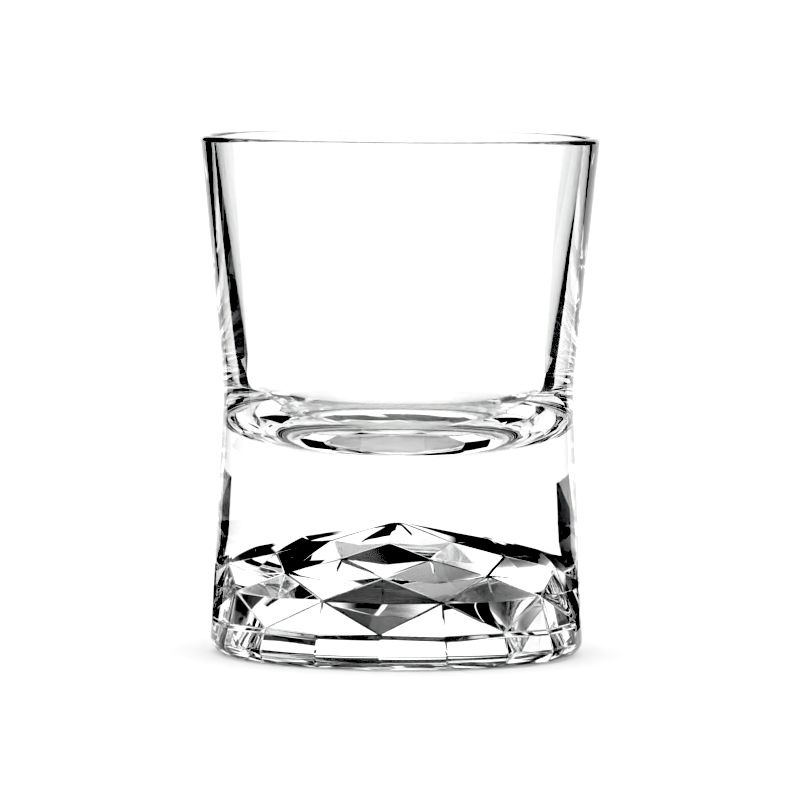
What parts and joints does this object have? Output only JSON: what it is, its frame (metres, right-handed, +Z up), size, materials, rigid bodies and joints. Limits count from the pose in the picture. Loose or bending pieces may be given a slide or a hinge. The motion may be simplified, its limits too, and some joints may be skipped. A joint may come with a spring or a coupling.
{
  "type": "whiskey tumbler",
  "caption": "Clear heavy-based whiskey tumbler with a flared bowl, a soft waist, a rounded lip and a jewel-cut hollow pressed up into its underside.",
  "frame": {"origin": "middle of the face that the tumbler rests on, at the foot", "axes": "+Z up along the tumbler's axis, out of the mouth; +X to the right and +Y away from the viewer who faces the front"},
  "size_m": [0.08, 0.08, 0.104],
  "materials": {
    "bowl_glass": "clear, fire-polished",
    "base_glass": "clear, polished, with crisp pressed facets underneath"
  },
  "bodies": {
    "root": {"bowl": "bowl_glass", "base": "base_glass"}
  },
  "joints": []
}
